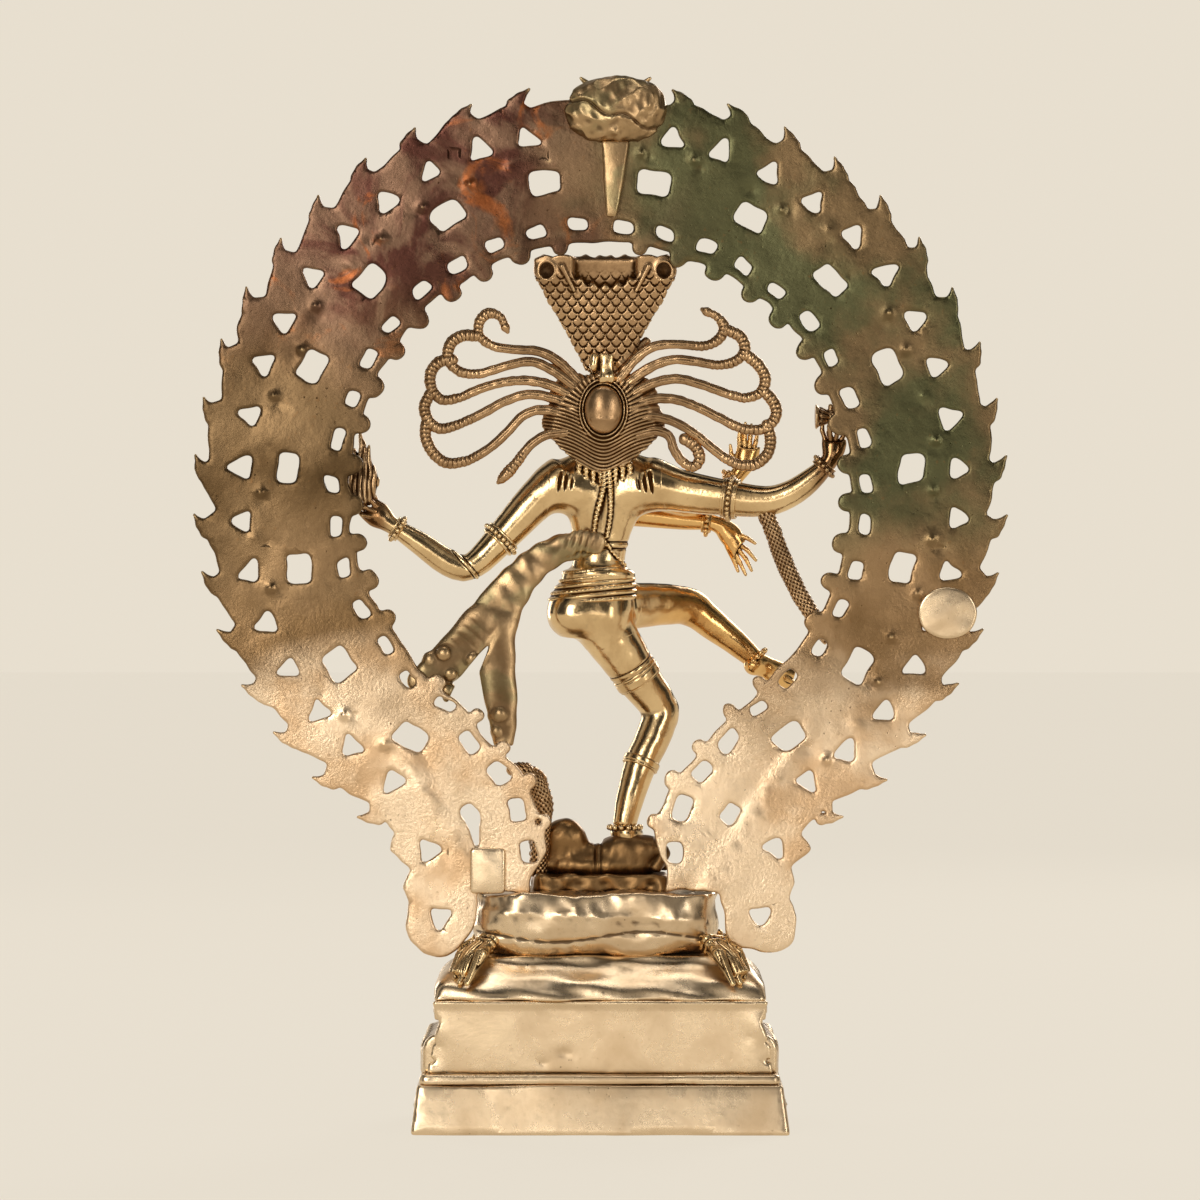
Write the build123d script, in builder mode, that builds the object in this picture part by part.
"""A standing brass nataraja: plinth, seat, dwarf, dancer and a pierced flame aureole.

The statue faces -Y and stands on Z = 0. Its own right hand is towards -X.
Every section below makes separate castings, each written to its own STEP.
"""

from build123d import *
from math import cos, radians, sin
import os

os.makedirs("parts", exist_ok=True)

# Driving dimensions, in millimetres
WALL = 4
BASE_HALF_WIDTH = 108.7
BASE_HALF_DEPTH = 66
LOWER_TIER_TOP = 28.8
STRIP_TOP = 34.5
UPPER_TIER_TOP = 76.5
SHOULDER_TOP = 101
SEAT_TOP = 137
SLAB_TOP = 147

ARCH_CENTRE_Z = 370
ARCH_FRONT_Y = 27
ARCH_THICKNESS = 4
ARCH_BACK_Y = ARCH_FRONT_Y + ARCH_THICKNESS
ARCH_TIP_R = 233
ARCH_VALLEY_R = 225
ARCH_INNER_R = 145
TOOTH_COUNT = 17
TOOTH_FIRST = 11.5
TOOTH_PITCH = 8.33

WAIST_Z = 322
BAND_GRIP = 1
LOCK_Y = 19
LOCK_RADIUS = 2.9


def finish(piece, label):
    """Name a finished casting and write its STEP."""
    piece.part.label = label
    export_step(piece.part, f"parts/{label}.step")
    return piece


def across(stations, index):
    """Plane square to a line of stations at one of them, its own Y leaning least from Y."""
    before = Vector(*stations[max(index - 1, 0)][:3])
    after = Vector(*stations[min(index + 1, len(stations) - 1)][:3])
    tangent = after - before
    return Plane(origin=stations[index][:3], x_dir=Vector(0, 1, 0).cross(tangent), z_dir=tangent)


def smoothed(stations, per_span=3):
    """The stations with others between them on a Catmull-Rom curve, as x, y, z, width, depth."""
    full = [(*station[:4], station[-1]) for station in stations]
    padded = [full[0], *full, full[-1]]
    result = []
    for quad in zip(padded, padded[1:], padded[2:], padded[3:]):
        for step in range(per_span):
            t = step / per_span
            result.append(
                tuple(
                    b + t / 2 * (c - a + t * (2 * a - 5 * b + 4 * c - d + t * (3 * (b - c) + d - a)))
                    for a, b, c, d in zip(*quad)
                )
            )
    return [*result, full[-1]]


def limb(stations, cut_by=()):
    """Loft through round (x, y, z, radius) or oval (x, y, z, half width, half depth) sections."""
    line = smoothed(stations)
    with BuildPart() as casting:
        for index, (*_, half_width, half_depth) in enumerate(line):
            with BuildSketch(across(line, index)):
                Ellipse(half_width, half_depth)
        loft(ruled=True)
        for other in cut_by:
            add(other, mode=Mode.SUBTRACT)
    return casting


def strap(stations, thickness):
    """Loft through flat oval sections (x, y, z, half width)."""
    with BuildPart() as casting:
        for index, station in enumerate(stations):
            with BuildSketch(across(stations, index)):
                Ellipse(station[3], thickness / 2)
        loft()
    return casting


def oval_stack(stations):
    """Loft through level ovals (z, centre x, centre y, half width, half depth)."""
    with BuildPart() as casting:
        for z, x, y, half_width, half_depth in stations:
            with BuildSketch(Plane.XY.offset(z)):
                with Locations((x, y)):
                    Ellipse(half_width, half_depth)
        loft()
    return casting


def slab_stack(levels, centre_y):
    """Loft through level rounded rectangles (z, centre x, width, depth, corner radius)."""
    with BuildPart() as casting:
        for z, x, width, depth, corner in levels:
            with BuildSketch(Plane.XY.offset(z)):
                with Locations((x, centre_y)):
                    RectangleRounded(width, depth, corner)
        loft()
    return casting


def ellipsoid(centre, half_sizes):
    """An egg-shaped casting."""
    x, y, z = centre
    half_width, half_depth, half_height = half_sizes
    levels = [radians(turn) for turn in (-78, -50, -20, 20, 50, 78)]
    return oval_stack(
        [
            (z + half_height * sin(t), x, y, half_width * cos(t), half_depth * cos(t))
            for t in levels
        ]
    )


def joined(*castings):
    """Several shapes fused into one casting."""
    with BuildPart() as whole:
        for casting in castings:
            add(casting)
    return whole


def band(stations, index, shift, width, rise):
    """A ring pressed round a limb, a little way along from one of its stations."""
    radius = stations[index][3]
    with BuildPart() as ring:
        with BuildSketch(across(stations, index).offset(shift - width / 2)):
            Circle(radius + rise)
            Circle(radius - BAND_GRIP, mode=Mode.SUBTRACT)
        extrude(amount=width)
    return ring


# ---------------------------------------------------------------- plinth
HOLLOW_TOP = UPPER_TIER_TOP - WALL

with BuildPart() as hollow:
    with BuildSketch():
        RectangleRounded(196, 98, 6)
    extrude(amount=STRIP_TOP)
    with BuildSketch():
        RectangleRounded(174, 94, 6)
    extrude(amount=HOLLOW_TOP)

with BuildPart() as plinth_lower_tier:
    with BuildSketch():
        RectangleRounded(2 * BASE_HALF_WIDTH, 2 * BASE_HALF_DEPTH, 2)
    with BuildSketch(Plane.XY.offset(LOWER_TIER_TOP)):
        RectangleRounded(2 * BASE_HALF_WIDTH - 7, 2 * BASE_HALF_DEPTH - 6, 2)
    loft()
    add(hollow, mode=Mode.SUBTRACT)
finish(plinth_lower_tier, "plinth_lower_tier")

with BuildPart() as plinth_strip:
    with BuildSketch(Plane.XY.offset(LOWER_TIER_TOP)):
        RectangleRounded(207, 124, 4)
    extrude(amount=STRIP_TOP - LOWER_TIER_TOP)
    fillet(plinth_strip.edges().group_by(Axis.Z)[-1], 2.5)
    add(hollow, mode=Mode.SUBTRACT)
finish(plinth_strip, "plinth_strip")

BACK_PLATE_FRONT_Y = 52
LOTUS_TOP = 57

with BuildPart() as plinth_back_plate:
    with BuildSketch(Plane.XZ.offset(-BACK_PLATE_FRONT_Y)):
        with BuildLine():
            Polyline(
                (99, STRIP_TOP), (98, 50), (94, 60), (92, 64), (95.5, 70), (95.5, UPPER_TIER_TOP)
            )
            Line((95.5, UPPER_TIER_TOP), (-95.5, UPPER_TIER_TOP))
            Polyline(
                (-95.5, UPPER_TIER_TOP), (-95.5, 70), (-92, 64), (-94, 60), (-98, 50), (-99, STRIP_TOP)
            )
            Line((-99, STRIP_TOP), (99, STRIP_TOP))
        make_face()
    extrude(amount=-WALL)
finish(plinth_back_plate, "plinth_back_plate")

with BuildPart() as lotus_moulding:
    with BuildSketch(Plane.XY.offset(STRIP_TOP)):
        with Locations((0, (BACK_PLATE_FRONT_Y - 60) / 2)):
            Rectangle(204, BACK_PLATE_FRONT_Y + 60)
    extrude(amount=LOTUS_TOP - STRIP_TOP)
    rim = lotus_moulding.edges().group_by(Axis.Z)[-1].sort_by(Axis.Y)[:-1]
    fillet(rim, 9)
    add(hollow, mode=Mode.SUBTRACT)
finish(lotus_moulding, "lotus_moulding")

with BuildPart() as plinth_upper_tier:
    with BuildSketch(Plane.XY.offset(LOTUS_TOP)):
        with Locations((0, (BACK_PLATE_FRONT_Y - 54) / 2)):
            Rectangle(184, BACK_PLATE_FRONT_Y + 54)
    extrude(amount=8)
    with BuildSketch(Plane.XY.offset(LOTUS_TOP + 8)):
        with Locations((0, (BACK_PLATE_FRONT_Y - 57) / 2)):
            Rectangle(191, BACK_PLATE_FRONT_Y + 57)
    extrude(amount=UPPER_TIER_TOP - LOTUS_TOP - 8)
    fillet(plinth_upper_tier.edges().filter_by(Axis.Z).sort_by(Axis.Y)[:2], 2)
    add(hollow, mode=Mode.SUBTRACT)
finish(plinth_upper_tier, "plinth_upper_tier")

SHOULDER_LEVELS = (
    (UPPER_TIER_TOP, 0, 191, 113, 3),
    (89, 0, 184, 96, 8),
    (96, 0, 168, 80, 12),
    (SHOULDER_TOP, 0, 150, 76, 14),
)
with BuildPart() as plinth_shoulder:
    add(slab_stack(SHOULDER_LEVELS, -0.5))
    with BuildSketch(Plane.XY.offset(UPPER_TIER_TOP)):
        RectangleRounded(140, 62, 8)
    extrude(amount=SHOULDER_TOP - UPPER_TIER_TOP - 9, mode=Mode.SUBTRACT)
finish(plinth_shoulder, "plinth_shoulder")

# ---------------------------------------------------------------- seat and claws
SEAT_LEVELS = (
    (SHOULDER_TOP, 2, 118, 68, 20),
    (110, 2.5, 136, 80, 24),
    (121, 2.5, 139, 84, 26),
    (131, 2, 136, 82, 24),
    (SEAT_TOP, 2, 142, 78, 22),
)
lotus_seat = finish(slab_stack(SEAT_LEVELS, 0), "lotus_seat")

for name, side, end in (
    ("leaf_claw_rear_left", 1, 1),
    ("leaf_claw_rear_right", -1, 1),
    ("leaf_claw_front_left", 1, -1),
    ("leaf_claw_front_right", -1, -1),
):
    claw = limb(
        [
            (side * 60 + 2, end * 27, 111, 4.5),
            (side * 68 + 1, end * 37, 105, 6),
            (side * 75, end * 44, 98, 6.5),
            (side * 81, end * 49, 90, 5.5),
        ],
        cut_by=(lotus_seat,),
    )
    finish(claw, name)

with BuildPart() as footrest_slab:
    with BuildSketch(Plane.XY.offset(SEAT_TOP)):
        with Locations((0, -4)):
            RectangleRounded(79, 42, 5)
    extrude(amount=SLAB_TOP - SEAT_TOP)
    fillet(footrest_slab.edges().group_by(Axis.Z)[-1], 2)
finish(footrest_slab, "footrest_slab")

# ---------------------------------------------------------------- dancer's trunk and head
torso = oval_stack(
    [
        (WAIST_Z, 1, 0, 19, 14),
        (336, 0, 0, 15.5, 12),
        (350, -1.5, 0, 18.5, 13),
        (364, -3, 0, 24.5, 15),
        (376, -3.5, 0, 25.5, 14.5),
        (386, -3, 0, 17, 11),
        (393, -2.5, -1, 8.5, 8.5),
        (402, -2, -2, 8.5, 8.5),
    ]
)

finish(torso, "torso")

HEAD_CENTRE = (-2, -3, 416)
head = ellipsoid(HEAD_CENTRE, (15.5, 17, 20))
finish(head, "head")

hips = oval_stack(
    [
        (285, 9, 1, 14, 9),
        (291, 8, 1, 21, 14),
        (299, 6, 1, 25, 17),
        (308, 5, 1, 24, 16.5),
        (316, 2, 0, 21.5, 15),
        (WAIST_Z, 1, 0, 19, 14),
    ]
)
finish(hips, "hips")

belt_shape = oval_stack(
    [
        (306, 5, 1, 25.5, 18.2),
        (311, 3.5, 0.5, 24.7, 17.8),
        (316, 2, 0, 23, 16.6),
        (321, 1, 0, 21, 15.6),
    ]
)
with BuildPart() as waist_belt:
    add(belt_shape)
    with BuildSketch(Plane.XY.offset(300)):
        with Locations((2.5, 0.5)):
            Ellipse(20, 14)
    extrude(amount=30, mode=Mode.SUBTRACT)
finish(waist_belt, "waist_belt")

with BuildPart() as necklace:
    with Locations(Location((-2.5, -3, 386), (18, 0, 0))):
        Torus(15, 3.2)
finish(necklace, "necklace")

# ---------------------------------------------------------------- hair, hood and crown stem
HAIR_CENTRE_X = -2
HAIR_CENTRE_Z = 417
HAIR_FRONT_Y = 11
HAIR_BACK_Y = 19

hair_boss = ellipsoid((HAIR_CENTRE_X, HAIR_BACK_Y, HAIR_CENTRE_Z), (11, 6, 14))
with BuildPart() as hair_disc:
    with BuildSketch(Plane.XZ.offset(-HAIR_BACK_Y)):
        with BuildLine():
            Spline(
                (HAIR_CENTRE_X, 381),
                (-20, 389),
                (-31, 401),
                (-22, 425),
                (HAIR_CENTRE_X, 437),
                (18, 425),
                (27, 401),
                (16, 389),
                periodic=True,
            )
        make_face()
    extrude(amount=HAIR_BACK_Y - HAIR_FRONT_Y)
    add(hair_boss)
    for other in (torso, necklace):
        add(other, mode=Mode.SUBTRACT)
finish(hair_disc, "hair_disc")

HOOD_THICKNESS = 11
hood_plane = Plane(origin=(-3, 13, 440), x_dir=(1, 0, 0), z_dir=(0, -1, 0.2))
with BuildPart() as hood_crown:
    with BuildSketch(hood_plane):
        with BuildLine():
            Polyline((-11, 0), (-22, 21), (-33, 39), (-38, 50), (-41.5, 65), (-33, 68))
            ThreePointArc((-33, 68), (0, 67), (33, 68))
            Polyline((33, 68), (41.5, 65), (38, 50), (33, 39), (22, 21), (11, 0), (-11, 0))
        make_face()
    extrude(amount=HOOD_THICKNESS)
finish(hood_crown, "hood_crown")

with BuildPart() as crown_stem:
    with Locations((-4, 19, 441)):
        Box(8, 9, 17)
finish(crown_stem, "crown_stem")

LEFT_LOCKS = (
    ((10, 430), (35, 449), (59, 454), (71, 461), (64, 472), (57, 468)),
    ((15, 428), (32, 441), (50, 444), (74, 438), (85, 442), (87, 454), (74, 461)),
    ((15, 423), (38, 431), (53, 434), (70, 428), (88, 421), (98, 426), (98, 439), (90, 446)),
    ((15, 416), (32, 422), (44, 425), (59, 418), (78, 409), (93, 404), (101, 408), (100, 422)),
    ((20, 412), (45, 414), (56, 402), (72, 388), (88, 385), (98, 394), (99, 406)),
    ((20, 404), (36, 400), (46, 387), (54, 378)),
)
RIGHT_LOCKS = (
    ((-11, 432), (-29, 455), (-50, 455), (-62, 453), (-71, 461), (-62, 469)),
    ((-14, 427.5), (-40, 445), (-59, 443), (-72, 443), (-84, 449), (-82, 458), (-75, 461)),
    ((-18, 423), (-40, 434), (-59, 431), (-77, 425), (-91, 424), (-97, 434), (-91, 446)),
    ((-18, 413), (-40, 422), (-59, 417), (-81, 407), (-96, 405), (-102, 414), (-97, 424)),
    ((-18, 406), (-40, 410), (-54, 404), (-69, 392), (-82, 384), (-96, 390), (-97, 402)),
    ((-22, 400), (-39, 404), (-42, 391), (-51, 383), (-56, 387), (-52, 397)),
)
for side, locks in (("left", LEFT_LOCKS), ("right", RIGHT_LOCKS)):
    lock_above = ()
    for number, spots in enumerate(locks, start=1):
        with BuildPart() as lock:
            with BuildLine():
                run = FilletPolyline(*((x, LOCK_Y, z) for x, z in spots), radius=5)
            with BuildSketch(Plane(origin=run @ 0, z_dir=run % 0)):
                Circle(LOCK_RADIUS)
            sweep()
            for other in lock_above:
                add(other, mode=Mode.SUBTRACT)
        lock_above = (lock,)
        finish(lock, f"hair_lock_{side}_{number}")

# ---------------------------------------------------------------- arms and what they hold
REAR_LEFT_ARM = (
    (21, 2, 377, 13),
    (36, 4, 366, 12),
    (58, 7, 342, 9.5),
    (75, 10, 326, 8),
    (88, 12, 328, 8),
    (104, 14, 339, 7),
    (121, 15, 350, 5.2),
)
REAR_RIGHT_ARM = (
    (-28, 2, 375, 14),
    (-48, 5, 370, 12.5),
    (-74, 10, 366, 10.5),
    (-96, 13, 364, 9),
    (-110, 15, 368, 8),
    (-122, 16, 376, 7),
    (-133, 17, 387, 5.2),
)
FRONT_LEFT_ARM = (
    (19, -6, 374, 11.5),
    (14, -20, 366, 10),
    (-2, -31, 360, 8.5),
    (-26, -35, 357, 7.5),
    (-50, -35, 354, 6.2),
    (-67, -34, 352, 4.8),
)
FRONT_RIGHT_ARM = (
    (-25, -6, 374, 11.5),
    (-40, -20, 367, 9.5),
    (-56, -30, 363, 8),
    (-70, -34, 369, 7),
    (-81, -35, 380, 4.8),
)
REAR_LEFT_HAND = ((129, 15, 356, 8, 5), (139, 16, 363, 6, 3))
REAR_RIGHT_HAND = ((-136, 17, 397, 7.5, 4.5), (-135, 16, 409, 6, 3))
FRONT_LEFT_HAND = ((-75, -34, 347, 6.5, 4.2), (-82, -33, 336, 6, 3.5), (-87, -32, 325, 4, 2))
FRONT_RIGHT_HAND = ((-86, -35, 389, 7, 4.2), (-88, -35, 398, 7, 3.8), (-89, -34, 407, 5.5, 2))
rear_left_arm = limb(REAR_LEFT_ARM + REAR_LEFT_HAND)
rear_right_arm = limb(REAR_RIGHT_ARM + REAR_RIGHT_HAND)
front_left_arm = limb(FRONT_LEFT_ARM + FRONT_LEFT_HAND, cut_by=(necklace,))
bracelet_front_left = band(FRONT_LEFT_ARM, 5, -4, 6, 2)
crossing_arm = (front_left_arm, bracelet_front_left)
front_right_arm = limb(FRONT_RIGHT_ARM + FRONT_RIGHT_HAND, cut_by=crossing_arm)
finish(rear_left_arm, "rear_left_arm")
finish(rear_right_arm, "rear_right_arm")
finish(front_left_arm, "front_left_arm")
finish(front_right_arm, "front_right_arm")

finish(band(REAR_LEFT_ARM, 2, 0, 8, 1.6), "armlet_rear_left")
finish(band(REAR_RIGHT_ARM, 2, 2, 9, 1.6), "armlet_rear_right")
finish(band(REAR_LEFT_ARM, 6, -4, 6, 2), "bracelet_rear_left")
finish(band(REAR_RIGHT_ARM, 6, -4, 6, 2), "bracelet_rear_right")
finish(bracelet_front_left, "bracelet_front_left")
finish(band(FRONT_RIGHT_ARM, 4, -4, 6, 2), "bracelet_front_right")

with BuildPart() as drum:
    with Locations(Location((-134, 17, 413), (0, 90, 0))):
        Cone(3, 7, 9, align=(Align.CENTER, Align.CENTER, Align.MIN))
        Cone(7, 3, 9, align=(Align.CENTER, Align.CENTER, Align.MAX))
finish(drum, "drum")

FLAME = (
    (137, 15, 362, 5),
    (140, 15, 374, 8),
    (141, 15, 384, 6.5),
    (142, 15, 396, 3.5),
    (141, 15, 404, 1),
)
finish(limb(FLAME), "flame")

ARM_COBRA = ((-97, 14, 356, 5), (-104, 15, 338, 5.2), (-115, 18, 313, 5), (-130, 22, 288, 4))
finish(limb(ARM_COBRA), "arm_cobra")

# ---------------------------------------------------------------- legs
STANDING_LEG = (
    (3, -1, 298, 17),
    (-9, -4, 281, 15.5),
    (-23, -10, 260, 13),
    (-35, -15, 242, 11),
    (-31, -11, 226, 10.5),
    (-24, -7, 211, 9.8),
    (-18, -3, 192, 8.4),
    (-14, -1, 174, 7),
)
RAISED_LEG = (
    (6, -8, 301, 17),
    (-18, -21, 303, 14),
    (-38, -31, 304, 12.3),
    (-53, -38, 302, 10.8),
    (-68, -41, 291, 9.2),
    (-83, -42, 279, 7.4),
    (-93, -42, 270, 6),
)
STANDING_FOOT = ((164, -16, -12, 9, 19), (168, -16, -12, 9.5, 20), (173, -15, -7, 8, 13))
RAISED_FOOT = (
    (-92, -41, 271, 5.5),
    (-99, -44, 266, 7, 6.5),
    (-107, -47, 262, 7.5, 5),
    (-114, -49, 259, 6, 2.5),
)
standing_leg = limb(STANDING_LEG, cut_by=(hips, waist_belt))
raised_leg = limb(RAISED_LEG, cut_by=(hips, waist_belt, standing_leg))
finish(limb(RAISED_FOOT), "raised_foot")
finish(oval_stack(STANDING_FOOT), "standing_foot")
finish(standing_leg, "standing_leg")
finish(raised_leg, "raised_leg")
finish(band(STANDING_LEG, 2, -3, 9, 1.2), "thigh_band")
finish(band(STANDING_LEG, 5, 0, 7, 1.2), "calf_band")

# ---------------------------------------------------------------- sash
SASH = ((6, 10, 338, 7), (30, 15, 333, 9), (48, 18, 317, 11), (62, 20, 296, 15), (72, 22, 276, 18))
OUTER_TAIL = ((76, 22, 282, 10), (88, 23, 270, 11), (99, 24, 261, 9))
INNER_TAIL = ((63, 21, 279, 8), (60, 22, 262, 10), (57, 23, 244, 9), (56, 24, 222, 6))
SASH_THICKNESS = 6
sash = joined(
    strap(SASH, SASH_THICKNESS),
    strap(OUTER_TAIL, SASH_THICKNESS),
    strap(INNER_TAIL, SASH_THICKNESS),
)
finish(sash, "sash")

# ---------------------------------------------------------------- dwarf
dwarf_body = joined(
    ellipsoid((-8, -5, 156), (28, 17, 11)),
    ellipsoid((20, -4, 155), (17, 14, 10)),
)
finish(dwarf_body, "dwarf_body")
finish(ellipsoid((30, -10, 163), (10, 10.5, 11)), "dwarf_head")
DWARF_COBRA = (
    (36, 6, 150, 6),
    (34, 10, 172, 6),
    (33, 13, 190, 6.5),
    (38, 14, 203, 7),
    (50, 15, 207, 6),
)
finish(limb(DWARF_COBRA), "dwarf_cobra")

# ---------------------------------------------------------------- aureole
def polar(angle, radius):
    """Point in the aureole's plane, by degrees from the crest towards +X."""
    turn = radians(angle)
    return (radius * sin(turn), ARCH_CENTRE_Z + radius * cos(turn))


def spot(angle, radius):
    """Location in the aureole's plane with its own Y pointing outwards."""
    x, z = polar(angle, radius)
    return Location((x, z, 0), (0, 0, 1), -angle)


def toothed_edge(side):
    """Flame-tongue edge from the crest down to the foot of one leg."""
    points = []
    for tooth in range(TOOTH_COUNT):
        angle = TOOTH_FIRST + TOOTH_PITCH * tooth
        points.append(polar(side * (angle - 1.3), ARCH_VALLEY_R))
        points.append(polar(side * angle, ARCH_TIP_R))
    return points


def leg_outline(side):
    """Straight lower leg of the aureole with its hanging lobe and knobbed inner edge."""
    barbs = ((128, 184), (117, 172), (122, 163), (111, 151), (115, 141), (111, 132))
    return [(side * x, z) for x, z in barbs]


LEG_FOOT_Z = SEAT_TOP
INNER_LEG = (
    (38, LEG_FOOT_Z),
    (38, 149),
    (33, 160),
    (32, 176),
    (42, 197),
    (56, 217),
    (73, 236),
    (94, 258),
)
LEG_KNOBS = ((32, 180), (42, 202), (56, 221), (73, 240), (92, 259))
LEG_KNOB_RADIUS = 4.5
LEG_WINDOWS = ((75, 224, 42), (59, 206, 36), (48, 186, 18), (42, 161, 5), (75, 182, 30))
LEG_FLAMES = ((98, 166, 150), (92, 128, 180))
ARC_END = 125
BAR_COUNT = 8
BAR_FIRST = 10
BAR_PITCH = 18.95
BAR_R = 180.5
BEAD_COUNT = 16
BEAD_PITCH = 9.3
BEAD_R = 154.5
FLAME_R = 203
KNOB_R = 144

with BuildSketch() as flame_window:
    Polygon((-8, 0), (8, 0), (0, 14), align=None)
    fillet(flame_window.vertices(), 2)

with BuildSketch() as bar_window:
    RectangleRounded(18, 13, 3)

with BuildSketch() as bead_window:
    RectangleRounded(11, 7, 2)

with BuildSketch() as leg_window:
    RectangleRounded(9, 13, 2.5)

with BuildPart() as aureole_arch:
    with BuildSketch(Plane.XZ.offset(-ARCH_BACK_Y)):
        with BuildLine():
            for side in (1, -1):
                teeth = toothed_edge(side)
                crest = (0, ARCH_CENTRE_Z + ARCH_VALLEY_R)
                ThreePointArc(crest, polar(side * 5, ARCH_VALLEY_R), teeth[0])
                Polyline(*teeth, *leg_outline(side))
                lobe_start = leg_outline(side)[-1]
                ThreePointArc(lobe_start, (side * 92, 100.6), (side * 72, 120))
                Polyline((side * 72, 120), (side * 71, LEG_FOOT_Z), (side * 38, LEG_FOOT_Z))
                arc_foot = polar(side * ARC_END, ARCH_INNER_R)
                Spline(*((side * x, z) for x, z in INNER_LEG), arc_foot)
                inner_top = (0, ARCH_CENTRE_Z + ARCH_INNER_R)
                ThreePointArc(arc_foot, polar(side * 60, ARCH_INNER_R), inner_top)
        make_face()
        for side in (1, -1):
            for tooth in range(TOOTH_COUNT):
                with Locations(spot(side * (TOOTH_FIRST + TOOTH_PITCH * tooth), FLAME_R)):
                    add(flame_window.sketch, mode=Mode.SUBTRACT)
            for bar in range(BAR_COUNT):
                with Locations(spot(side * (BAR_FIRST + BAR_PITCH * bar), BAR_R)):
                    add(bar_window.sketch, mode=Mode.SUBTRACT)
            for bead in range(BEAD_COUNT):
                angle = side * BEAD_PITCH * (bead + 0.5)
                with Locations(spot(angle, BEAD_R)):
                    add(bead_window.sketch, mode=Mode.SUBTRACT)
                if 0 < bead < 13:
                    with Locations(spot(angle + side * BEAD_PITCH / 2, KNOB_R)):
                        Circle(5.5)
            for x, z in LEG_KNOBS:
                with Locations((side * x, z)):
                    Circle(LEG_KNOB_RADIUS)
            for x, z, turn in LEG_WINDOWS:
                with Locations(Location((side * x, z, 0), (0, 0, 1), -side * turn)):
                    add(leg_window.sketch, mode=Mode.SUBTRACT)
            for x, z, turn in LEG_FLAMES:
                with Locations(Location((side * x, z, 0), (0, 0, 1), -side * turn)):
                    add(flame_window.sketch, mode=Mode.SUBTRACT)
    extrude(amount=ARCH_THICKNESS)
finish(aureole_arch, "aureole_arch")

CREST_MASK = (-9, 29, 590.3)
with BuildPart() as crest_mask:
    add(ellipsoid(CREST_MASK, (29, 12, 20)))
    with BuildSketch(Plane.XZ.offset(-ARCH_BACK_Y)):
        with Locations((0, ARCH_CENTRE_Z)):
            Circle(ARCH_TIP_R)
    extrude(amount=ARCH_THICKNESS, mode=Mode.SUBTRACT)
finish(crest_mask, "crest_mask")

with BuildPart() as crest_stem:
    with BuildSketch(Plane.XZ.offset(-ARCH_BACK_Y)):
        Polygon((-17, 572), (-1, 572), (-4, 528), (-9, 528), align=None)
    extrude(amount=-WALL)
finish(crest_stem, "crest_stem")

with BuildPart() as brazing_tab:
    with BuildSketch(Plane.XZ.offset(-ARCH_BACK_Y)):
        with Locations((65, SEAT_TOP + 13)):
            RectangleRounded(20, 26, 2)
    extrude(amount=-3)
finish(brazing_tab, "brazing_tab")

with BuildPart() as repair_patch:
    with BuildSketch(Plane.XZ.offset(-ARCH_BACK_Y)):
        with Locations((-201, 299)):
            Ellipse(17, 15)
    extrude(amount=-2)
finish(repair_patch, "repair_patch")
